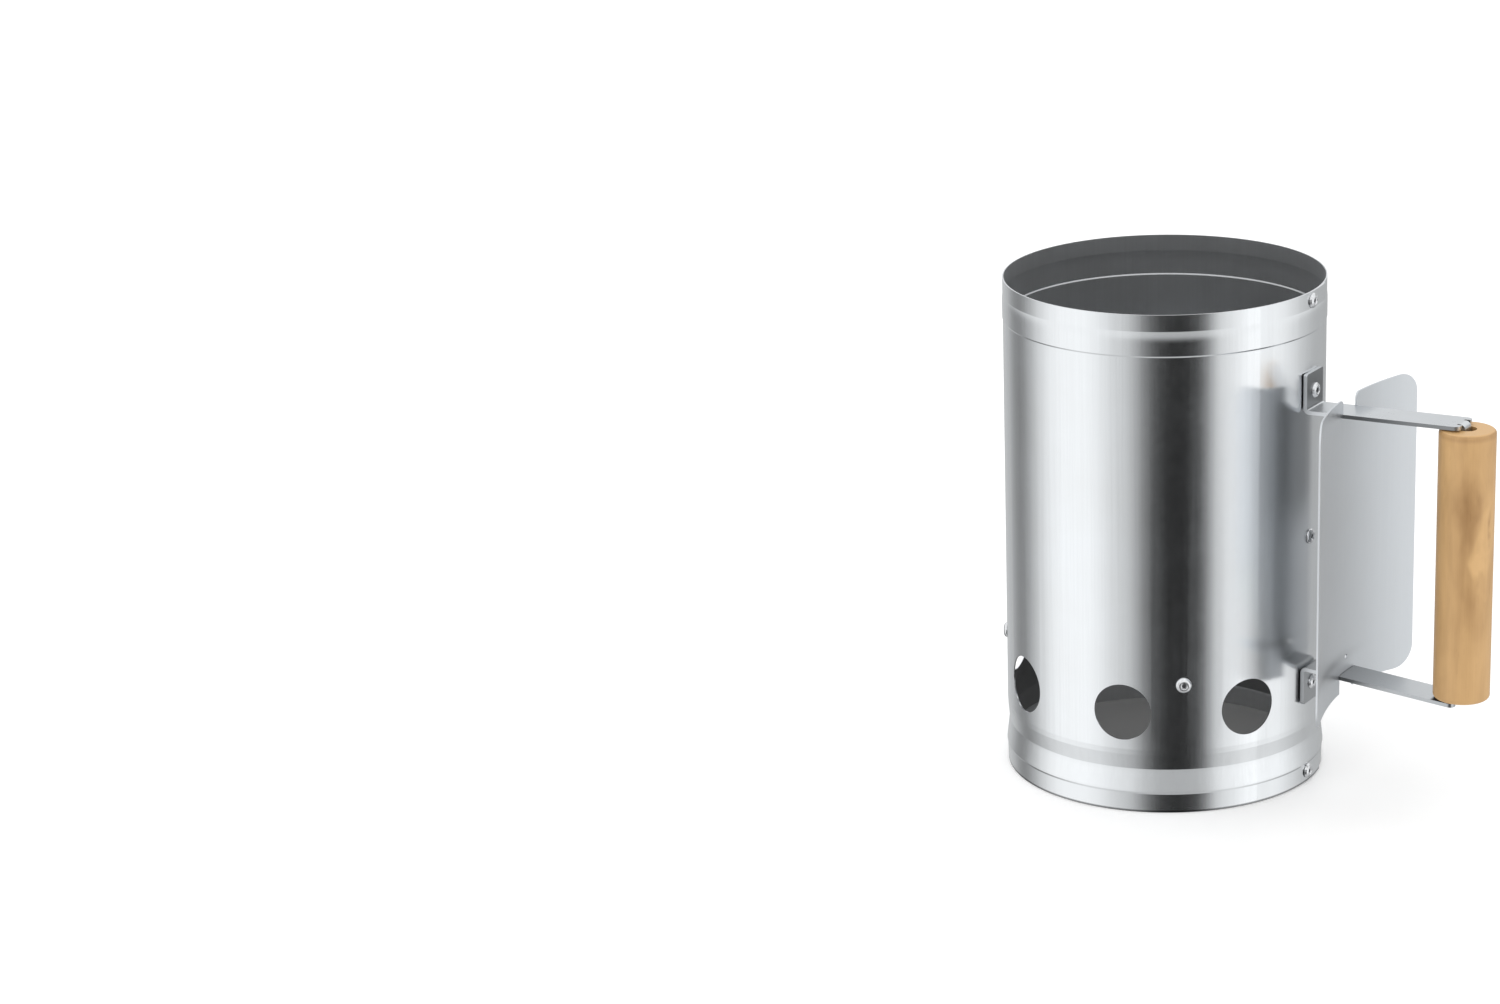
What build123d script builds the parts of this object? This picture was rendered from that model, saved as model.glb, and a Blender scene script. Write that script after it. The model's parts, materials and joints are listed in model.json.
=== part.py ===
from build123d import *
import os
from math import cos, radians, sin

os.makedirs("parts", exist_ok=True)

# A chimney charcoal starter: a rolled sheet-steel tube, open at both ends, with a ring of air
# vents above its foot, a perforated charcoal grate riveted inside, and a wooden grip carried
# between two strip-steel arms that also trap a curved heat shield.
# Frame: Z is the tube's axis, z = 0 is the floor, +X points along the arms to the grip.
# All lengths are millimetres, all angles degrees counter-clockwise from +X.

# ---- Tube ----------------------------------------------------------------------------------
TUBE_RADIUS = 88.5
TUBE_HEIGHT = 282.0
SHEET = 0.7
MARGIN = 5.0                # drills and cutting blocks reach this far past what they cut

SKIRT_STEP = 0.3            # the skirt widens this much from its lower edge to the crest
CREST_STEP = 0.65           # the crest above the skirt stands this far outside the tube radius
CREST_BOTTOM = 10.5
CREST_TOP = 11.6
WAIST_DEPTH = 0.85          # the rolled waist above the crest
WAIST_HEIGHT = 24.8
WAIST_SHOULDER = (0.16, 33.0)   # depth and height at which the cone above the waist rounds off
WAIST_END = 36.2
BAND_STEP = 0.35            # the stiffening band below the rim
BAND_BOTTOM = 258.7
BAND_FOOT = 259.5
BAND_TOP = 266.8
RIM_STEP = 0.1
RIM_SHOULDER = (0.28, 270.6)    # step and height at which the band turns in to the rim
RIM_BOTTOM = 272.9

LAP_SPREAD = 2.3            # extra radius of the outer sheet where it climbs over the inner one
LAP_START = -34.0           # angle at which the outer sheet leaves the tube's circle
LAP_LEAD = 6.0
LAP_END = 12.0              # the outer sheet's free edge

# ---- Vents ---------------------------------------------------------------------------------
VENT_DIAMETER = 32.0
VENT_HEIGHT = 57.5
VENT_COUNT = 7
VENT_FIRST = -31.8
VENT_PITCH = 46.0

# ---- Blind rivets --------------------------------------------------------------------------
SHANK_RADIUS = 2.0
RIVET_HOLE_RADIUS = 2.05
FLANGE_RADIUS = 4.2
FLANGE_HEIGHT = 1.9
FLANGE_RIM = 0.4            # height of the flange's outer edge
DISH_DEPTH = 0.55           # of the dish round the pin's broken end
BULB_RADIUS = 2.9
BULB_LENGTH = 3.0
BORE_RADIUS = 1.15
PIN_RADIUS = 1.1
PIN_HEAD_RADIUS = 1.68
BULB_GAP = 0.1              # between a rivet's flat bulb and the curved wall behind it
SEAM_RIVET_HEIGHTS = {"top": 277.0, "middle": 144.0, "bottom": 6.3}
SEAM_RIVET_STEPS = {"top": 0.1, "middle": 0.0, "bottom": 0.3}      # flange, out from the arm seat
SEAM_BULB_STEPS = {"top": 0.1, "middle": 0.0, "bottom": 0.0}       # bulb, out from the tube's inside

# ---- Charcoal grate ------------------------------------------------------------------------
GRATE_SHEET = 1.2
GRATE_TOP = 82.6
GRATE_RADIUS = 83.0
GRATE_GAP = 0.07            # between a tab and the tube's inner wall
TAB_ARC = 9.4
TAB_BOTTOM = 67.0
TAB_BEND = 2.2
TAB_RIVET_HEIGHT = 74.2
TAB_ANGLES = (-56.0, -153.0, -236.0, -326.0)
AIR_HOLE_RADIUS = 7.0
AIR_HOLE_RINGS = ((0.0, 1), (25.0, 6), (48.0, 12), (71.0, 18))

# ---- Arms ----------------------------------------------------------------------------------
ARM_WIDTH = 20.0
ARM_SHEET = 2.1
ARM_BEND = 2.2              # to the middle of the sheet
ARM_SEAT = 88.92            # the feet's flat back, tangent to the outer sheet at the seam
FOOT_LENGTH = 21.0
FOOT_CORNER = 1.2
TONGUE_WIDTH = 8.0
TONGUE_LENGTH = 14.0
TONGUE_INSET = 0.7          # the tongues stand this far inside the grip's axis
SHOULDER_CORNER = 3.0
SHOULDER_REACH = 2.0        # the flat shoulders run on past the start of the tongue's bend
RELIEF_RADIUS = 0.7         # slots between the shoulders and the tongue
UPPER_ARM_HEIGHT = 217.1    # middle of the sheet, at the foot
UPPER_ARM_RISE = 2.4        # over the arm's length
LOWER_ARM_HEIGHT = 69.9
LOWER_ARM_RISE = -6.4
ARM_RIVET_OFFSET = 10.3     # from the middle of the arm's sheet to its foot's rivet

# ---- Heat shield ---------------------------------------------------------------------------
SHIELD_X = 111.0            # middle of the sheet where it crosses the arms
SHIELD_SHEET = 1.0
SHIELD_RADIUS = 168.0       # curved round an upright axis on the grip's side
SHIELD_HALF_WIDTH = 62.2
SHIELD_TOP = 226.6
SHIELD_BOTTOM = 55.9
SHIELD_CORNER = 12.0
ARCH_RISE = 2.6             # the lower edge is cut to a shallow arch
ARCH_RADIUS = 450.0
LUG_CORNER = 3.2
NOTCH_WIDTH = 17.2
NOTCH_PLAY = 0.15
LOCK_DEPTH = 1.6            # side cuts in the arms that hold the shield
LOCK_LENGTH = 1.6
SHIELD_BLANK = 60.0         # depth of the block that the curved sheet is cut from
SHIELD_HOLE_RADIUS = 1.5
SHIELD_HOLE_HEIGHT = 77.6

# ---- Wooden grip ---------------------------------------------------------------------------
GRIP_X = 179.2
GRIP_RADIUS = 15.2
GRIP_LENGTH = 151.0
GRIP_BOTTOM = 66.4
GRIP_EDGE = 2.2
GRIP_BORE_RADIUS = 4.8

TUBE_INSIDE = TUBE_RADIUS - SHEET
ARM_START = ARM_SEAT + ARM_SHEET / 2
TONGUE_X = GRIP_X - TONGUE_INSET
SHOULDER_X = TONGUE_X - ARM_BEND + SHOULDER_REACH
RELIEF_X = TONGUE_X - ARM_BEND - RELIEF_RADIUS


def turned(shape, angle):
    """The shape turned about the tube's axis."""
    return Rot(0, 0, angle) * shape


def radial_plane(angle, height, distance=0.0):
    """A plane at a distance from the axis, facing outward at the given angle."""
    outward = Vector(cos(radians(angle)), sin(radians(angle)), 0)
    origin = outward * distance + Vector(0, 0, height)
    return Plane(origin=origin, x_dir=(-outward.Y, outward.X, 0), z_dir=outward)


def radial_drill(angle, height, radius, distance):
    """A drill along the radius at an angle, through what stands at a distance from the axis."""
    return radial_plane(angle, height, distance) * extrude(Circle(radius), amount=MARGIN, both=True)


# ---- Tube ----------------------------------------------------------------------------------
def wall_line(shift):
    """The wall's section from the foot to the rim, moved outward by the shift."""
    radius = TUBE_RADIUS + shift
    foot = (radius, 0)
    under_crest = (radius + SKIRT_STEP, CREST_BOTTOM)
    crest = (radius + CREST_STEP, CREST_TOP)
    waist = (radius - WAIST_DEPTH, WAIST_HEIGHT)
    waist_shoulder = (radius - WAIST_SHOULDER[0], WAIST_SHOULDER[1])
    waist_end = (radius, WAIST_END)
    waist_slope = (waist_shoulder[0] - waist[0], waist_shoulder[1] - waist[1])
    band_low = (radius, BAND_BOTTOM)
    band_foot = (radius + BAND_STEP, BAND_FOOT)
    band_high = (radius + BAND_STEP, BAND_TOP)
    rim_shoulder = (radius + RIM_SHOULDER[0], RIM_SHOULDER[1])
    rim_low = (radius + RIM_STEP, RIM_BOTTOM)
    rim = (radius + RIM_STEP, TUBE_HEIGHT)
    upward = (0, 1)
    return [
        Polyline(foot, under_crest, crest, waist, waist_shoulder),
        Spline(waist_shoulder, waist_end, tangents=[waist_slope, upward]),
        Polyline(waist_end, band_low, band_foot, band_high),
        Spline(band_high, rim_shoulder, rim_low, tangents=[upward, upward]),
        Line(rim_low, rim),
    ]


def wall_section(shift):
    """One thickness of sheet with the wall's section, standing in the XZ plane."""
    outer = Wire([edge for line in wall_line(shift) for edge in line.edges()])
    inner = Wire([edge for line in wall_line(shift - SHEET) for edge in line.edges()])
    bottom = Line(inner @ 0, outer @ 0)
    top = Line(outer @ 1, inner @ 1)
    outline = Wire(outer.edges() + top.edges() + inner.edges() + bottom.edges())
    return Plane.XZ * Face(outline)


def make_tube():
    """The rolled tube: one sheet whose end laps over its start behind the arms."""
    seam_side = VENT_FIRST + VENT_COUNT * VENT_PITCH / 2
    tube = turned(revolve(wall_section(0), Axis.Z, 360), seam_side)
    outer_sheet = revolve(wall_section(LAP_SPREAD), Axis.Z, LAP_END - LAP_START - LAP_LEAD)
    outer_sheet = turned(outer_sheet, LAP_START + LAP_LEAD)
    centre_x = -LAP_SPREAD * cos(radians(LAP_START))
    centre_y = -LAP_SPREAD * sin(radians(LAP_START))
    tube += Pos(centre_x, centre_y, 0) * outer_sheet
    for number in range(VENT_COUNT):
        angle = VENT_FIRST - number * VENT_PITCH
        tube -= radial_drill(angle, VENT_HEIGHT, VENT_DIAMETER / 2, TUBE_RADIUS)
    for angle, height in rivet_places():
        tube -= radial_drill(angle, height, RIVET_HOLE_RADIUS, TUBE_RADIUS)
    return tube


# ---- Blind rivets --------------------------------------------------------------------------
def rivet_places():
    """Angle and height of every rivet hole in the tube."""
    places = [(0.0, height) for height in SEAM_RIVET_HEIGHTS.values()]
    places += [(0.0, UPPER_ARM_HEIGHT + ARM_RIVET_OFFSET)]
    places += [(0.0, LOWER_ARM_HEIGHT - ARM_RIVET_OFFSET)]
    places += [(angle, TAB_RIVET_HEIGHT) for angle in TAB_ANGLES]
    return places


def blind_rivet(grip):
    """A set blind rivet: its flange rests on z = 0 and its bulb starts at z = -grip."""
    bulb = -grip
    end = bulb - BULB_LENGTH
    cup = PIN_HEAD_RADIUS + 0.07
    dish = FLANGE_HEIGHT - DISH_DEPTH
    section = Polyline(
        (BORE_RADIUS, dish), (BORE_RADIUS + 0.7, dish + 0.2), (BORE_RADIUS + 1, FLANGE_HEIGHT),
        (BORE_RADIUS + 1.5, FLANGE_HEIGHT - 0.06), (FLANGE_RADIUS - 0.6, FLANGE_HEIGHT - 0.6),
        (FLANGE_RADIUS - 0.1, FLANGE_RIM + 0.3), (FLANGE_RADIUS, FLANGE_RIM),
        (FLANGE_RADIUS, 0), (SHANK_RADIUS, 0), (SHANK_RADIUS, bulb), (BULB_RADIUS - 0.1, bulb),
        (BULB_RADIUS, bulb - 0.7), (BULB_RADIUS - 0.1, end + 0.8), (cup + 0.35, end), (cup, end),
        (cup, end + 1.1), (BORE_RADIUS, end + 1.7), (BORE_RADIUS, dish),
    )
    return revolve(Plane.XZ * make_face(section), Axis.Z, 360)


def rivet_pin(grip):
    """What is left of the rivet's mandrel: a broken pin with its swelled head."""
    break_height = 0.2
    end = -grip - BULB_LENGTH
    section = Polyline(
        (0, break_height), (PIN_RADIUS - 0.2, break_height), (PIN_RADIUS, break_height - 0.25),
        (PIN_RADIUS, end + 1.65), (PIN_HEAD_RADIUS, end + 1.05), (PIN_HEAD_RADIUS, end - 0.1),
        (PIN_HEAD_RADIUS - 0.5, end - 0.6), (0, end - 0.7), (0, break_height),
    )
    return revolve(Plane.XZ * make_face(section), Axis.Z, 360)


def seat_rivet(shape, angle, height, distance):
    """A rivet or its pin, set with its flange at a distance from the tube's axis."""
    return radial_plane(angle, height, distance) * shape


# ---- Charcoal grate ------------------------------------------------------------------------
def make_grate():
    """A pressed disc with rings of air holes and four tabs turned down against the wall."""
    middle = GRATE_TOP - GRATE_SHEET / 2
    tab_radius = TUBE_INSIDE - GRATE_GAP - GRATE_SHEET / 2
    grate = Pos(0, 0, middle) * Cylinder(GRATE_RADIUS, GRATE_SHEET)
    bend = FilletPolyline(
        (GRATE_RADIUS - MARGIN, middle), (tab_radius, middle), (tab_radius, TAB_BOTTOM),
        radius=TAB_BEND,
    )
    section = Plane.XZ * trace(bend, GRATE_SHEET)
    tab = turned(revolve(section, Axis.Z, TAB_ARC), -TAB_ARC / 2)
    for angle in TAB_ANGLES:
        grate += turned(tab, angle)
    for ring_radius, count in AIR_HOLE_RINGS:
        hole = Pos(ring_radius, 0, middle) * Cylinder(AIR_HOLE_RADIUS, 3 * GRATE_SHEET)
        for number in range(count):
            grate -= turned(hole, number * 360 / count)
    for angle in TAB_ANGLES:
        grate -= radial_drill(angle, TAB_RIVET_HEIGHT, RIVET_HOLE_RADIUS, TUBE_INSIDE)
    return grate


# ---- Arms ----------------------------------------------------------------------------------
def arm_slab(x_from, x_to, width):
    """A tall block over a stretch of an arm, used to trim it in plan."""
    middle = (x_from + x_to) / 2
    return Pos(middle, 0, TUBE_HEIGHT / 2) * Box(x_to - x_from, width, TUBE_HEIGHT)


def arm_plan():
    """The flat strap seen from above, slotted at its end for the tongue."""
    strap = arm_slab(ARM_SEAT - MARGIN, SHOULDER_X, ARM_WIDTH)
    end_edges = strap.edges().filter_by(Axis.Z).group_by(Axis.X)[-1]
    plan = fillet(end_edges, SHOULDER_CORNER)
    plan -= arm_slab(RELIEF_X, SHOULDER_X + MARGIN, TONGUE_WIDTH + 4 * RELIEF_RADIUS)
    for side in (-1, 1):
        relief_y = side * (TONGUE_WIDTH / 2 + RELIEF_RADIUS)
        plan -= Pos(RELIEF_X, relief_y, TUBE_HEIGHT / 2) * Cylinder(RELIEF_RADIUS, TUBE_HEIGHT)
        lock_y = side * (ARM_WIDTH / 2)
        plan -= Pos(SHIELD_X, lock_y, TUBE_HEIGHT / 2) * Box(LOCK_LENGTH, 2 * LOCK_DEPTH, TUBE_HEIGHT)
    return plan


def bent_strip(points, width):
    """Strip of the arms' thickness, bent along a path in the XZ plane."""
    path = FilletPolyline(*points, radius=ARM_BEND)
    return Plane.XZ * extrude(trace(path, ARM_SHEET), amount=width / 2, both=True)


def make_arm(height, rise, side):
    """One arm, bent from strip: side is +1 with its foot turned up, -1 with it turned down."""
    foot_end = (ARM_START, height + side * FOOT_LENGTH)
    foot_bend = (ARM_START, height)
    tip = (TONGUE_X, height + rise)
    tongue_end = (TONGUE_X, height + rise - side * TONGUE_LENGTH)
    arm = bent_strip([foot_end, foot_bend, tip], ARM_WIDTH) & arm_plan()
    tongue = bent_strip([foot_bend, tip, tongue_end], TONGUE_WIDTH)
    arm += tongue & arm_slab(RELIEF_X - MARGIN, TONGUE_X + MARGIN, TONGUE_WIDTH)
    corners = arm.edges().filter_by(Axis.X).sort_by(Axis.Z, reverse=side > 0)[:2]
    arm = fillet(corners, FOOT_CORNER)
    rivet_height = height + side * ARM_RIVET_OFFSET
    return arm - radial_drill(0, rivet_height, RIVET_HOLE_RADIUS, ARM_SEAT)


def arm_level(height, rise, x):
    """Height of the middle of an arm's sheet at a distance along it."""
    return height + rise * (x - ARM_START) / (TONGUE_X - ARM_START)


# ---- Heat shield ---------------------------------------------------------------------------
def make_shield():
    """A curved plate, notched at both ends so that the two arms trap it between them."""
    middle = (SHIELD_TOP + SHIELD_BOTTOM) / 2
    height = SHIELD_TOP - SHIELD_BOTTOM
    blank = Pos(SHIELD_X, 0, middle) * Box(SHIELD_BLANK, 2 * SHIELD_HALF_WIDTH, height)
    blank = fillet(blank.edges().filter_by(Axis.X), SHIELD_CORNER)
    lowest_top_arm = arm_level(UPPER_ARM_HEIGHT, UPPER_ARM_RISE, SHIELD_X - SHIELD_SHEET)
    highest_low_arm = arm_level(LOWER_ARM_HEIGHT, LOWER_ARM_RISE, SHIELD_X - SHIELD_SHEET)
    seat_top = lowest_top_arm - ARM_SHEET / 2 - NOTCH_PLAY
    seat_bottom = highest_low_arm + ARM_SHEET / 2 + NOTCH_PLAY
    for seat, edge in ((seat_top, SHIELD_TOP + MARGIN), (seat_bottom, SHIELD_BOTTOM - MARGIN)):
        notch_middle = (seat + edge) / 2
        blank -= Pos(SHIELD_X, 0, notch_middle) * Box(SHIELD_BLANK, NOTCH_WIDTH, abs(edge - seat))
    notch_edges = blank.edges().filter_by(Axis.X).filter_by_position(
        Axis.Y, -0.6 * NOTCH_WIDTH, 0.6 * NOTCH_WIDTH
    )
    by_height = notch_edges.sort_by(Axis.Z)
    blank = fillet(by_height[:2] + by_height[-2:], LUG_CORNER)
    arch_middle = SHIELD_BOTTOM + ARCH_RISE - ARCH_RADIUS
    blank -= Pos(SHIELD_X, 0, arch_middle) * Rot(0, 90, 0) * Cylinder(ARCH_RADIUS, SHIELD_BLANK)
    blank -= radial_drill(0, SHIELD_HOLE_HEIGHT, SHIELD_HOLE_RADIUS, SHIELD_X)
    bend_axis = Pos(SHIELD_X + SHIELD_RADIUS, 0, middle)
    curve = Cylinder(SHIELD_RADIUS + SHIELD_SHEET / 2, height + 2 * MARGIN)
    curve -= Cylinder(SHIELD_RADIUS - SHIELD_SHEET / 2, height + 2 * MARGIN)
    return blank & (bend_axis * turned(curve, 90))


# ---- Wooden grip ---------------------------------------------------------------------------
def make_grip():
    """A turned wooden grip, bored right through, loose on the two tongues."""
    grip = Cylinder(GRIP_RADIUS, GRIP_LENGTH)
    grip = fillet(grip.edges().filter_by(GeomType.CIRCLE), GRIP_EDGE)
    grip -= Cylinder(GRIP_BORE_RADIUS, GRIP_LENGTH + MARGIN)
    return Pos(GRIP_X, 0, GRIP_BOTTOM + GRIP_LENGTH / 2) * grip


def main():
    parts = {
        "tube_shell": make_tube(),
        "charcoal_grate": make_grate(),
        "upper_arm": make_arm(UPPER_ARM_HEIGHT, UPPER_ARM_RISE, 1),
        "lower_arm": make_arm(LOWER_ARM_HEIGHT, LOWER_ARM_RISE, -1),
        "heat_shield": make_shield(),
        "wood_grip": make_grip(),
    }

    # The seam is two sheets thick; its outer face is where the arms' feet sit.
    for name, height in SEAM_RIVET_HEIGHTS.items():
        flange_seat = ARM_SEAT + SEAM_RIVET_STEPS[name]
        grip = flange_seat - TUBE_INSIDE - SEAM_BULB_STEPS[name] + BULB_GAP
        parts[f"seam_rivet_{name}"] = seat_rivet(blind_rivet(grip), 0, height, flange_seat)
        parts[f"seam_rivet_{name}_pin"] = seat_rivet(rivet_pin(grip), 0, height, flange_seat)

    for name, height in (
        ("upper", UPPER_ARM_HEIGHT + ARM_RIVET_OFFSET),
        ("lower", LOWER_ARM_HEIGHT - ARM_RIVET_OFFSET),
    ):
        flange_seat = ARM_SEAT + ARM_SHEET
        grip = flange_seat - TUBE_INSIDE + BULB_GAP
        parts[f"{name}_arm_rivet"] = seat_rivet(blind_rivet(grip), 0, height, flange_seat)
        parts[f"{name}_arm_rivet_pin"] = seat_rivet(rivet_pin(grip), 0, height, flange_seat)

    for number, angle in enumerate(TAB_ANGLES, start=1):
        grip = SHEET + GRATE_GAP + GRATE_SHEET + BULB_GAP
        rivet = seat_rivet(blind_rivet(grip), angle, TAB_RIVET_HEIGHT, TUBE_RADIUS)
        pin = seat_rivet(rivet_pin(grip), angle, TAB_RIVET_HEIGHT, TUBE_RADIUS)
        parts[f"grate_rivet_{number}"] = rivet
        parts[f"grate_rivet_{number}_pin"] = pin

    for name, shape in parts.items():
        export_step(shape, f"parts/{name}.step")


main()
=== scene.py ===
import json
import math

import bmesh
import bpy
from mathutils import Matrix, Vector


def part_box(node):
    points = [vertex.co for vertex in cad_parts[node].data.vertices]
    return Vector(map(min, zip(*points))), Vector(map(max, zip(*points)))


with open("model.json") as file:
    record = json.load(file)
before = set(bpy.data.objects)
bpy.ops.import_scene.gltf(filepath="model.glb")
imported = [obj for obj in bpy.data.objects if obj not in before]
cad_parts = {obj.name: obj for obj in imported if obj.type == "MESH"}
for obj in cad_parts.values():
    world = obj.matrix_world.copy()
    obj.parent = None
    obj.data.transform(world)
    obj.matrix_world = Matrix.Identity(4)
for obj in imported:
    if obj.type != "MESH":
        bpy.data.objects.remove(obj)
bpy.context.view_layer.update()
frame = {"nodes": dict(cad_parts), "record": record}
scene = bpy.context.scene

# The camera stands 27 degrees round from the front, a little above the rim.
CAMERA_AZIMUTH = 27.2
CAMERA_DISTANCE = 2.0101
CAMERA_HEIGHT = 0.8003
AIM_HEIGHT = 0.1392
AIM_LEFT = 6.287
AIM_UP = 0.288
LENS = 90.22

# Directions round the starter are degrees counter-clockwise from +X.
CAMERA_SIDE = CAMERA_AZIMUTH - 90.0

# The softboxes stand round the starter: where each is from the camera's side, its half width,
# how softly it ends and how bright it is.
SOFTBOXES = (
    (-68.0, 39.0, 30.0, 1.20),
    (-24.5, 6.0, 6.0, 0.27),
    (53.0, 19.5, 6.0, 0.95),
    (84.0, 11.0, 37.0, 0.98),
    (150.0, 77.0, 17.0, 0.52),
    (-162.0, 14.0, 14.0, 0.17),
)

# A fade is written as where it starts and where it is complete, and, if that isn't 0 and 1, its value
# at each. These are what the metal mirrors at each elevation, in degrees.
HAZE = (-15.5, -24.0, 0.0, 0.024)
LOW_SOFTBOXES = (-24.5, -29.0, 1.0, 0.75)
STRIP_LOWER_EDGE = (-13.0, -10.5)
STRIP_UPPER_EDGE = (-2.5, -5.0)
STRIP_COVER = 0.5
STRIP_LIGHT = 1.12
NEAR_FLOOR = (-50.0, -60.0)
NEAR_FLOOR_LIGHT = 0.64
OVERHEAD = (5.0, 20.0, 0.0, 1.15)
MIRRORED_TINT = (0.97, 0.99, 1.0)

# What dull surfaces get from the sky, by the upward part of its direction, and the camera's backdrop.
SOFT_SKY = (-0.2, 1.0, 0.95, 1.25)
BACKDROP_LIGHT = 1.05
WHITE = (1.0, 1.0, 1.0, 1.0)

# The two discs of the floor: the radius and height of each in metres, whether the metal mirrors it,
# how pale it is and how much it glows.
FLOORS = (
    ("floor", 30.0, -0.0004, False, 0.93, 0.14),
    # The disc inside the tube is painted shade, darker than the floor, with a faint painted glow.
    ("floor_inside_painted_shade", 0.0884, -0.0002, True, 0.36, 0.045),
)

# Marks on the tube: roughness inside, painted shade and one painted highlight. The fades are by height
# in metres.
INSIDE_FACING = -0.02
INSIDE_ROUGHER = 0.30
# Painted shade on the outside's lowest edge, where the tube meets the floor.
CONTACT_SHADE_AT_BASE = (0.0012, 0.0006, 1.0, 0.30)
# Painted shade on the inner wall below the grate, down to the skirt.
PAINTED_SHADE_BELOW_GRATE = (0.082, 0.076, 0.0, 0.55)
PAINTED_SHADE_ABOVE_SKIRT = (0.0112, 0.0118)
# Painted shade on the inner wall, deepening towards the mouth.
PAINTED_SHADE_TOWARDS_MOUTH = (0.200, 0.262, 0.0, 0.28)
# A painted highlight on the flared band above the foot.
HIGHLIGHT_ABOVE = (0.0116, 0.0130)
HIGHLIGHT_BELOW = (0.0250, 0.0220)
HIGHLIGHT_GAIN = 0.05

# Painted shade and roughness on the arms: a height between the two, and fades by distance from the
# tube's axis, in metres.
BETWEEN_THE_ARMS = 0.14
# Painted shade on the outer face of each foot, deeper on the upper one.
FOOT_FACE = (0.0955, 0.0935)
LOWER_FOOT_DEPTH = 0.30
UPPER_FOOT_DEPTH = 0.58
BEYOND_SHIELD = (0.1110, 0.1120)
# Painted shade on the lower arm's top between the tube and the shield.
BEFORE_SHIELD = (0.1110, 0.1100)
BEFORE_SHIELD_DEPTH = 0.55
# Painted shade on the lower arm beyond the shield, deepest near it.
SHADE_NEAR_SHIELD = (0.146, 0.112, 0.20, 0.58)
# A painted shadow on the lower arm's top under the grip.
UNDER_GRIP = (0.1650, 0.1665)
UNDER_GRIP_DEPTH = 0.9
# Painted shade on the upper arm's cut sides beyond the shield, which are also rougher.
CUT_SIDE_SHADE_DEPTH = 0.55
CUT_SIDE_ROUGHER = 0.1

# Painted light and shade on the shield. The fades are by height and by place along Y, in metres.
TUBE_SIDE_FACING = -0.3
# Painted light on the side that faces the tube.
TUBE_SIDE_PAINTED_LIGHT = 0.38
# Painted shade on the tube side, towards the top and its +Y edge.
PAINTED_SHADE_UP = (0.130, 0.165, 0.30, 0.65)
PAINTED_SHADE_ACROSS = (-0.050, 0.030)
# Painted light on both sides towards the lower -Y corner.
PAINTED_LIGHT_DOWN = (0.130, 0.056, 0.0, 0.12)
PAINTED_LIGHT_ACROSS = (0.020, -0.050)
# A faint painted shadow along the lower arm's slot.
STRAP_SHADOW_CENTRE = (-0.024, 0.0785)
STRAP_SHADOW_SIZE = (0.026, 0.0032)
STRAP_SHADOW_DEPTH = 0.25

# The pith of the tree that the grip was cut from, in metres from the grip's axis, and how closely its
# growth rings follow one another, in radians per metre.
PITH_X = -0.034
PITH_Y = 0.021
RING_RATE = 1500.0
PALE_WOOD = (0.640, 0.395, 0.170)
DARK_WOOD = (0.330, 0.175, 0.060)


class Nodes:
    """Adds nodes to a tree by name, with numbers or sockets for their inputs."""

    def __init__(self, owner):
        owner.use_nodes = True
        self.tree = owner.node_tree
        self.tree.nodes.clear()

    def add(self, kind, inputs=None, **settings):
        node = self.tree.nodes.new("ShaderNode" + kind)
        for name, value in settings.items():
            setattr(node, name, value)
        for name, value in (inputs or {}).items():
            socket = node.inputs[name]
            if isinstance(value, bpy.types.NodeSocket):
                self.tree.links.new(value, socket)
            else:
                socket.default_value = value
        return node

    def math(self, operation, first, second=0.0, clamp=False):
        inputs = {0: first, 1: second}
        return self.add("Math", inputs, operation=operation, use_clamp=clamp).outputs[0]

    def remap(self, value, low, high, to_low=0.0, to_high=1.0, smooth=False):
        inputs = {"Value": value, "From Min": low, "From Max": high, "To Min": to_low, "To Max": to_high}
        kind = "SMOOTHSTEP" if smooth else "LINEAR"
        return self.add("MapRange", inputs, interpolation_type=kind).outputs["Result"]

    def mix(self, share, first, second, blend="MIX"):
        inputs = {0: share, 6: first, 7: second}
        node = self.add("Mix", None, data_type="RGBA", blend_type=blend)
        for index, value in inputs.items():
            if isinstance(value, bpy.types.NodeSocket):
                self.tree.links.new(value, node.inputs[index])
            elif index == 0:
                node.inputs[0].default_value = value
            else:
                node.inputs[index].default_value = (*value[:3], 1.0)
        return node.outputs[2]

    def noise(self, vector, scale, detail=2.0, roughness=0.5, distortion=0.0):
        inputs = {
            "Vector": vector, "Scale": scale, "Detail": detail,
            "Roughness": roughness, "Distortion": distortion,
        }
        return self.add("TexNoise", inputs).outputs[0]

    def stretched(self, vector, scale, location=(0, 0, 0)):
        inputs = {"Vector": vector, "Scale": scale, "Location": location}
        return self.add("Mapping", inputs).outputs[0]

    def vector(self, operation, *values):
        return self.add("VectorMath", dict(enumerate(values)), operation=operation)

    def split(self, vector):
        return self.add("SeparateXYZ", {0: vector}).outputs

    def place(self):
        """Where a point is on the object, in metres."""
        return self.add("TexCoord").outputs["Object"]

    def facing(self):
        """Which way the surface faces, on the object."""
        return self.add("TexCoord").outputs["Normal"]

    def times(self, *factors):
        product = factors[0]
        for factor in factors[1:]:
            product = self.math("MULTIPLY", product, factor)
        return product

    def darken(self, shade, mark, depth=1.0):
        """The shade, less the depth's share of it wherever the mark is 1."""
        return self.times(shade, self.math("SUBTRACT", 1.0, self.times(mark, depth)))

    def brighten(self, shade, mark, gain=1.0):
        """The shade, plus the gain's share of it wherever the mark is 1."""
        return self.times(shade, self.math("ADD", 1.0, self.times(mark, gain)))


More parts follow.
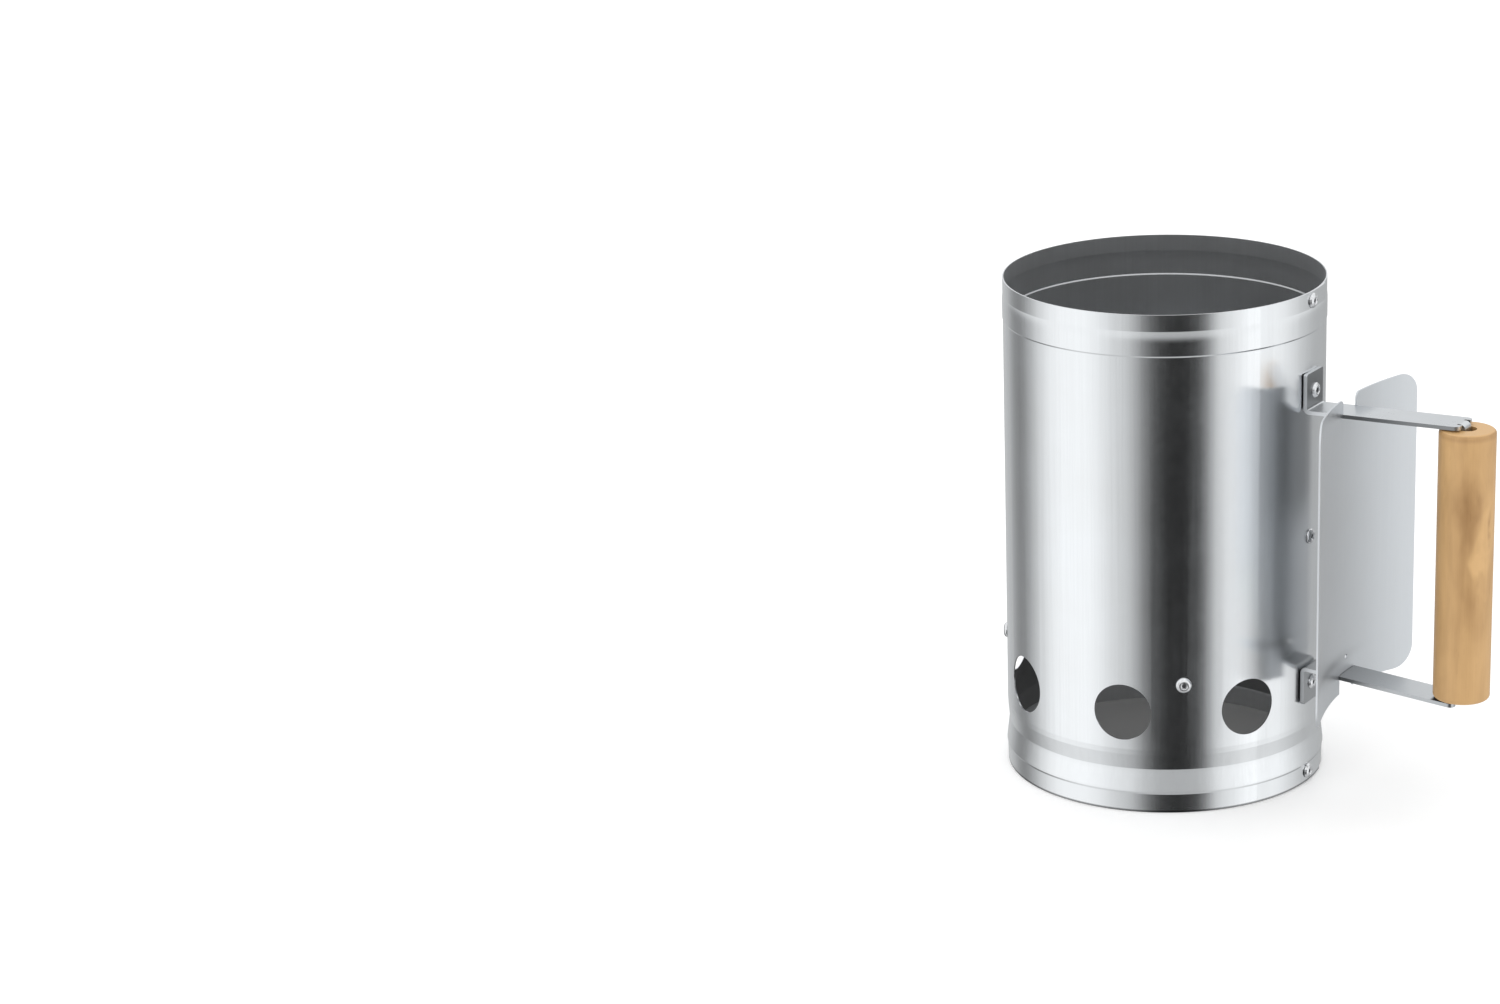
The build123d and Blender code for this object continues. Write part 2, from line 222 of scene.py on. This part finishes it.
# ---- Studio --------------------------------------------------------------------------------
def build_world():
    world = bpy.data.worlds.new("studio")
    scene.world = world
    n = Nodes(world)
    direction = n.add("TexCoord").outputs["Generated"]
    x, y, z = n.split(direction)
    azimuth = n.math("DEGREES", n.math("ARCTAN2", y, x))
    elevation = n.math("DEGREES", n.math("ARCSINE", z))

    # Between the softboxes the room is dark, and hazier lower down.
    light = n.remap(elevation, *HAZE, smooth=True)
    for centre, half_width, softness, brightness in SOFTBOXES:
        offset = n.math("SUBTRACT", azimuth, CAMERA_SIDE + centre)
        away = n.math("PINGPONG", offset, 180.0)
        edge = (half_width + softness, half_width - softness)
        light = n.math("ADD", n.remap(away, *edge, 0.0, brightness, smooth=True), light)
    light = n.times(light, n.remap(elevation, *LOW_SOFTBOXES, smooth=True))

    # A pale strip runs round at the horizon, and the floor close by is a plain grey.
    above_strip = n.remap(elevation, *STRIP_LOWER_EDGE, smooth=True)
    below_strip = n.remap(elevation, *STRIP_UPPER_EDGE, smooth=True)
    strip = n.times(above_strip, below_strip, STRIP_COVER)
    near_floor = n.remap(elevation, *NEAR_FLOOR, smooth=True)
    level = n.math("ADD", n.times(strip, STRIP_LIGHT), n.times(near_floor, NEAR_FLOOR_LIGHT))
    kept = n.darken(light, n.math("ADD", strip, near_floor))
    mirrored = n.math("ADD", kept, level)
    overhead = n.remap(elevation, *OVERHEAD, smooth=True)
    mirrored = n.math("MAXIMUM", mirrored, overhead)
    mirrored_colour = n.mix(1.0, MIRRORED_TINT, mirrored, "MULTIPLY")

    # Reflections see that pattern, dull surfaces a soft white sky, and the camera a white backdrop.
    soft = n.remap(z, *SOFT_SKY)
    path = n.add("LightPath").outputs
    glossy = n.add("Background", {"Color": mirrored_colour, "Strength": 1.0}).outputs[0]
    diffuse = n.add("Background", {"Color": WHITE, "Strength": soft}).outputs[0]
    backdrop = n.add("Background", {"Color": WHITE, "Strength": BACKDROP_LIGHT}).outputs[0]
    lit = n.add("MixShader", {0: path["Is Glossy Ray"], 1: diffuse, 2: glossy}).outputs[0]
    seen = n.add("MixShader", {0: path["Is Camera Ray"], 1: lit, 2: backdrop}).outputs[0]
    n.add("OutputWorld", {"Surface": seen})


def build_floor():
    """A pale floor, and inside the tube a disc darkened as painted shade, with a faint painted glow.
    Only that inner disc shows in the metal.
    """
    for name, reach, level, mirrored, shade, glow in FLOORS:
        material = bpy.data.materials.new(name)
        n = Nodes(material)
        shader = n.add("BsdfPrincipled", {"Base Color": (shade, shade, shade, 1), "Roughness": 0.6})
        shader.inputs["Specular IOR Level"].default_value = 0.2
        shader.inputs["Emission Color"].default_value = WHITE
        shader.inputs["Emission Strength"].default_value = glow
        n.add("OutputMaterial", {"Surface": shader.outputs[0]})
        mesh = bpy.data.meshes.new(name)
        shape = bmesh.new()
        bmesh.ops.create_circle(shape, cap_ends=True, radius=reach, segments=96)
        shape.to_mesh(mesh)
        shape.free()
        mesh.materials.append(material)
        disc = bpy.data.objects.new(name, mesh)
        scene.collection.objects.link(disc)
        disc.location.z = level
        disc.visible_glossy = mirrored


def build_camera():
    camera = bpy.data.objects.new("camera", bpy.data.cameras.new("camera"))
    scene.collection.objects.link(camera)
    angle = math.radians(CAMERA_AZIMUTH)
    camera.location = (
        math.sin(angle) * CAMERA_DISTANCE,
        -math.cos(angle) * CAMERA_DISTANCE,
        CAMERA_HEIGHT,
    )
    towards = Vector((0, 0, AIM_HEIGHT)) - camera.location
    aim = towards.to_track_quat("-Z", "Y").to_matrix()
    turn = Matrix.Rotation(math.radians(AIM_LEFT), 3, "Y")
    tilt = Matrix.Rotation(math.radians(AIM_UP), 3, "X")
    camera.rotation_euler = (aim @ turn @ tilt).to_euler()
    camera.data.lens = LENS
    camera.data.sensor_width = 36.0
    camera.data.clip_start = 0.05
    camera.data.clip_end = 100.0
    scene.camera = camera


# ---- Materials -----------------------------------------------------------------------------
def finish_material(n, colour, metallic, roughness, height, relief, round_axis=False, **sockets):
    """A Principled shader with its colour, roughness and bump from nodes."""
    bump = n.add("Bump", {"Strength": 1.0, "Distance": relief, "Height": height})
    inputs = {
        "Base Color": colour, "Metallic": metallic,
        "Roughness": roughness, "Normal": bump.outputs[0],
    }
    if round_axis:
        inputs["Tangent"] = n.add("Tangent", None, direction_type="RADIAL", axis="Z").outputs[0]
    shader = n.add("BsdfPrincipled", inputs)
    for name, value in sockets.items():
        shader.inputs[name].default_value = value
    n.add("OutputMaterial", {"Surface": shader.outputs[0]})


def sheet_metal(
    name, colour, roughness, grain, marks=None,
    cloud=0.02, streak=0.025, relief=1.2e-6, spread=0.03, **extra
):
    """Rolled, zinc-coated sheet: fine lines along the grain over faint cloudy patches.

    The marks take the shade and the gloss and give them back with this sheet's own painted light and
    shade, and its own roughness.
    """
    material = bpy.data.materials.new(name)
    n = Nodes(material)
    place = n.place()
    broad_grain = tuple(density * 0.22 for density in grain)
    lines = n.noise(n.stretched(place, grain), 1.0, 3.0, 0.55)
    broad = n.noise(n.stretched(place, broad_grain, (3, 1, 2)), 1.0, 2.0, 0.5)
    patches = n.noise(place, 28.0, 3.0, 0.55)
    mottle = n.noise(place, 260.0, 2.0, 0.5)

    shade = n.times(
        n.remap(lines, 0.25, 0.75, 1.0 - streak, 1.0 + streak),
        n.remap(broad, 0.3, 0.7, 1.0 - streak * 0.4, 1.0 + streak * 0.4),
        n.remap(patches, 0.3, 0.7, 1.0 - cloud, 1.0 + cloud),
    )
    cooler = tuple(c * t for c, t in zip(colour, (0.985, 0.995, 1.01)))
    tint = n.mix(patches, colour, cooler)

    gloss = n.math("ADD", n.times(lines, 0.5), n.times(mottle, 0.5))
    gloss = n.remap(gloss, 0.3, 0.7, roughness - spread, roughness + spread)
    gloss = n.math("ADD", gloss, n.remap(patches, 0.3, 0.7, -spread / 2, spread / 2))
    if marks:
        shade, gloss = marks(n, place, shade, gloss)
    colour = n.mix(1.0, tint, shade, "MULTIPLY")
    height = n.math("ADD", lines, n.times(mottle, 0.4))
    finish_material(n, colour, 1.0, gloss, height, relief, **extra)
    return material


def tube_marks(n, place, shade, gloss):
    """Inside, the tube is dull, with painted shade below the grate and a little towards the mouth.

    Outside, painted shade darkens its lowest edge and a painted highlight brightens the band above the
    foot.
    """
    z = n.split(place)[2]
    across = n.vector("MULTIPLY", place, (1.0, 1.0, 0.0)).outputs[0]
    outward = n.vector("DOT_PRODUCT", across, n.facing()).outputs["Value"]
    inside = n.math("LESS_THAN", outward, INSIDE_FACING)
    # Painted shade: the outside darkens over its lowest millimetre, where it meets the floor.
    edge = n.remap(z, *CONTACT_SHADE_AT_BASE)
    shade = n.times(shade, n.math("MAXIMUM", edge, inside))
    # Painted shade inside: below the grate, above the skirt, and a little towards the mouth.
    lower_chamber_shade = n.times(n.remap(z, *PAINTED_SHADE_BELOW_GRATE), n.remap(z, *PAINTED_SHADE_ABOVE_SKIRT))
    mouth_shade = n.remap(z, *PAINTED_SHADE_TOWARDS_MOUTH, smooth=True)
    shade = n.darken(shade, inside, n.math("ADD", lower_chamber_shade, mouth_shade))
    # A painted highlight brightens the flared band above the foot.
    flare_highlight = n.times(n.remap(z, *HIGHLIGHT_ABOVE), n.remap(z, *HIGHLIGHT_BELOW))
    gloss = n.math("ADD", gloss, n.times(inside, INSIDE_ROUGHER))
    return n.brighten(shade, flare_highlight, HIGHLIGHT_GAIN), gloss


def arm_marks(n, place, shade, gloss):
    """Painted shade darkens both feet, the lower arm beyond the shield, and the upper arm's cut sides,
    which are also rougher.

    The lower arm's top has painted shade between the tube and the shield, and a painted shadow under the
    grip.
    """
    along, _, height = n.split(place)
    facing_x, facing_y, facing_z = n.split(n.facing())
    upper = n.math("GREATER_THAN", height, BETWEEN_THE_ARMS)
    lower = n.math("SUBTRACT", 1.0, upper)
    beyond_shield = n.remap(along, *BEYOND_SHIELD)

    # Painted shade on the outer face of each foot, deeper on the upper one.
    foot = n.times(n.remap(along, *FOOT_FACE), n.remap(facing_x, 0.6, 0.9))
    foot_depth = n.remap(upper, 0.0, 1.0, LOWER_FOOT_DEPTH, UPPER_FOOT_DEPTH)
    cut_side = n.remap(n.math("ABSOLUTE", facing_y), 0.6, 0.9)
    # Painted shade, with more roughness, on the upper arm's cut sides beyond the shield.
    shaded_cut_side = n.times(cut_side, beyond_shield, upper)
    # Painted shade on the lower arm beyond the shield, deepest near it.
    shade_near_shield = n.times(lower, beyond_shield, n.remap(along, *SHADE_NEAR_SHIELD))
    # Painted shade on the lower arm's top between the tube and the shield.
    before_shield = n.times(lower, n.remap(along, *BEFORE_SHIELD), n.remap(facing_z, 0.3, 0.6))
    # A painted shadow on the lower arm's top under the grip.
    under_grip = n.times(lower, n.remap(along, *UNDER_GRIP), n.remap(facing_z, 0.5, 0.8))
    for mark, depth in (
        (foot, foot_depth),
        (shaded_cut_side, CUT_SIDE_SHADE_DEPTH),
        (shade_near_shield, 1.0),
        (before_shield, BEFORE_SHIELD_DEPTH),
        (under_grip, UNDER_GRIP_DEPTH),
    ):
        shade = n.darken(shade, mark, depth)
    return shade, n.math("ADD", gloss, n.times(shaded_cut_side, CUT_SIDE_ROUGHER))


def shield_marks(n, place, shade, gloss):
    """The side that faces the tube is brightened with painted light, and darkened with painted shade
    towards the top and its +Y edge.

    Both sides get a little painted light towards the lower -Y corner, and one faint painted shadow along
    the lower arm's slot.
    """
    _, across, height = n.split(place)
    tube_side = n.math("LESS_THAN", n.split(n.facing())[0], TUBE_SIDE_FACING)
    # Painted shade on the tube side, towards the top and its +Y edge; tint below carries it.
    shade_upwards = n.remap(height, *PAINTED_SHADE_UP, smooth=True)
    tint = n.times(tube_side, shade_upwards, n.remap(across, *PAINTED_SHADE_ACROSS, smooth=True))
    # Painted light on both sides towards the lower -Y corner.
    pale = n.times(n.remap(height, *PAINTED_LIGHT_DOWN), n.remap(across, *PAINTED_LIGHT_ACROSS))

    # A faint painted shadow along the lower arm's slot.
    strap_shadow = []
    for distance, centre, size in zip((across, height), STRAP_SHADOW_CENTRE, STRAP_SHADOW_SIZE):
        offset = n.math("DIVIDE", n.math("SUBTRACT", distance, centre), size)
        strap_shadow.append(n.math("POWER", offset, 2.0))
    strap_shadow = n.math("EXPONENT", n.times(n.math("ADD", *strap_shadow), -1.0))
    shade = n.darken(n.darken(shade, tint), strap_shadow, STRAP_SHADOW_DEPTH)
    # Painted light on the side that faces the tube.
    shade = n.brighten(shade, tube_side, TUBE_SIDE_PAINTED_LIGHT)
    return n.brighten(shade, pale), gloss


def rivet_metal(name, colour, roughness):
    """Headed wire: small marks in its shade, and a polish that is duller in patches."""
    material = bpy.data.materials.new(name)
    n = Nodes(material)
    place = n.place()
    marks = n.noise(place, 900.0, 3.0, 0.6)
    dull = n.noise(place, 180.0, 2.0, 0.5)
    colour = n.mix(1.0, colour, n.remap(marks, 0.3, 0.7, 0.9, 1.05), "MULTIPLY")
    gloss = n.remap(dull, 0.3, 0.7, roughness - 0.06, roughness + 0.08)
    finish_material(n, colour, 1.0, gloss, marks, 2e-6)
    return material


def grip_wood(name):
    """Pale turned beech, clear sealed: grain along the grip, swept round one knot."""
    material = bpy.data.materials.new(name)
    n = Nodes(material)
    low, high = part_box("wood_grip")
    axis = (low + high) / 2
    local = n.vector("ADD", n.place(), (-axis.x, -axis.y, 0.0)).outputs[0]
    x, y, z = n.split(local)

    # The patches of colour are drawn on a place that is swept about, so that their edges wander.
    swirl = n.add("TexNoise", {"Vector": n.stretched(local, (110, 110, 50)), "Scale": 1.0}).outputs[1]
    swirl = n.vector("SUBTRACT", swirl, (0.5, 0.5, 0.5)).outputs[0]
    swirl = n.vector("MULTIPLY", swirl, (0.010, 0.010, 0.036)).outputs[0]
    swept = n.vector("ADD", local, swirl).outputs[0]

    def patch(azimuth, height, size):
        """1 at a spot on the grip's side, fading unevenly to 0 over the given size."""
        angle = math.radians(azimuth)
        radius = high.x - axis.x
        centre = (math.cos(angle) * radius, math.sin(angle) * radius, height)
        away = n.vector("SUBTRACT", swept, centre).outputs[0]
        away = n.vector("DIVIDE", away, size).outputs[0]
        away = n.vector("LENGTH", away).outputs["Value"]
        return n.math("EXPONENT", n.times(away, away, -1.0))

    knot = patch(-22.0, 0.146, (0.0060, 0.0060, 0.013))
    knot_line = patch(-12.0, 0.166, (0.0014, 0.0014, 0.0042))
    heart = patch(-58.0, 0.171, (0.0062, 0.0062, 0.023))
    low_heart = patch(-52.0, 0.130, (0.0056, 0.0056, 0.017))
    sap = patch(-26.0, 0.160, (0.0068, 0.0068, 0.022))
    bright_spot = patch(-40.0, 0.1465, (0.0030, 0.0030, 0.0055))
    top_sap = patch(-110.0, 0.200, (0.0070, 0.0070, 0.016))

    # The growth rings run round the tree's pith, which lies outside the grip, and bend at the knot.
    sway = n.noise(n.stretched(local, (26, 26, 9)), 1.0, 2.0, 0.5)
    fine_sway = n.noise(n.stretched(local, (120, 120, 30)), 1.0, 2.0, 0.5)
    from_pith_x = n.math("POWER", n.math("SUBTRACT", x, PITH_X), 2.0)
    from_pith_y = n.math("POWER", n.math("SUBTRACT", y, PITH_Y), 2.0)
    rings = n.math("SQRT", n.math("ADD", from_pith_x, from_pith_y))
    for field, reach in ((sway, 0.020), (fine_sway, 0.0024), (knot, 0.0095)):
        rings = n.math("ADD", rings, n.times(field, reach))
    wave = n.math("SINE", n.times(rings, RING_RATE))
    growth = n.remap(wave, -1.0, 1.0, smooth=True)

    fibres = n.noise(n.stretched(local, (1700, 1700, 30)), 1.0, 3.0, 0.6)
    figure = n.noise(n.stretched(local, (66, 66, 19), (0.4, 0.1, 0.0)), 1.0, 3.0, 0.5, 0.5)
    flecks = n.noise(n.stretched(local, (900, 900, 150), (2, 0, 1)), 1.0, 1.0, 0.5)

    # The share of the dark colour, from the broad figure and then from everything that adds to it.
    share = n.remap(figure, 0.30, 0.72, 0.14, 0.50, smooth=True)
    # Painted light makes the end faces paler; their growth rings, the wood's own, show more there.
    end_grain_and_painted_light = n.remap(n.math("ABSOLUTE", n.split(n.facing())[2]), 0.7, 0.95)
    # Painted shade on a band just below the top edge.
    top_edge_shade = n.remap(z, high.z - 0.0048, high.z - 0.0020, smooth=True)
    for field, amount in (
        (growth, 0.05), (heart, 0.60), (low_heart, 0.24), (sap, -0.36), (top_sap, -0.22),
        (bright_spot, -0.40), (knot, -0.10), (knot_line, 0.85), (top_edge_shade, 0.26),
        (end_grain_and_painted_light, -0.80), (n.times(end_grain_and_painted_light, growth), 0.16),
    ):
        share = n.math("ADD", share, n.times(field, amount))
    share = n.math("ADD", share, n.remap(fibres, 0.3, 0.7, -0.04, 0.04))
    share = n.math("ADD", share, n.remap(flecks, 0.66, 0.78, 0.0, 0.07, smooth=True), clamp=True)
    colour = n.mix(share, PALE_WOOD, DARK_WOOD)

    gloss = n.remap(fibres, 0.3, 0.7, 0.42, 0.54)
    height = n.math("ADD", fibres, n.times(growth, 0.5))
    coat = {"Coat Weight": 0.12, "Coat Roughness": 0.35}
    finish_material(n, colour, 0.0, gloss, height, 2e-5, **coat)
    return material


def dress_nodes():
    """Gives every CAD node the material of its slot in the record."""
    materials = {
        "tube_steel": sheet_metal(
            "tube_steel", (0.80, 0.805, 0.81), 0.185, (1100, 1100, 9), tube_marks,
            spread=0.012, round_axis=True, Anisotropic=0.82,
        ),
        "grate_steel": sheet_metal("grate_steel", (0.50, 0.505, 0.51), 0.36, (700, 60, 60)),
        "arm_steel": sheet_metal("arm_steel", (0.64, 0.65, 0.66), 0.30, (12, 1400, 300), arm_marks),
        "shield_steel": sheet_metal(
            "shield_steel", (0.69, 0.705, 0.72), 0.42, (900, 900, 10), shield_marks,
            streak=0.012, cloud=0.012,
        ),
        "rivet_aluminium": rivet_metal("rivet_aluminium", (0.74, 0.74, 0.75), 0.2),
        "pin_steel": rivet_metal("pin_steel", (0.16, 0.16, 0.17), 0.45),
        "grip_wood": grip_wood("grip_wood"),
    }
    slots = {part["node"]: part["material_slot"] for part in frame["record"]["subparts"]}
    for name, node in frame["nodes"].items():
        node.data.materials.clear()
        node.data.materials.append(materials[slots[name]])


scene.view_settings.view_transform = "Standard"
build_world()
build_floor()
build_camera()
dress_nodes()
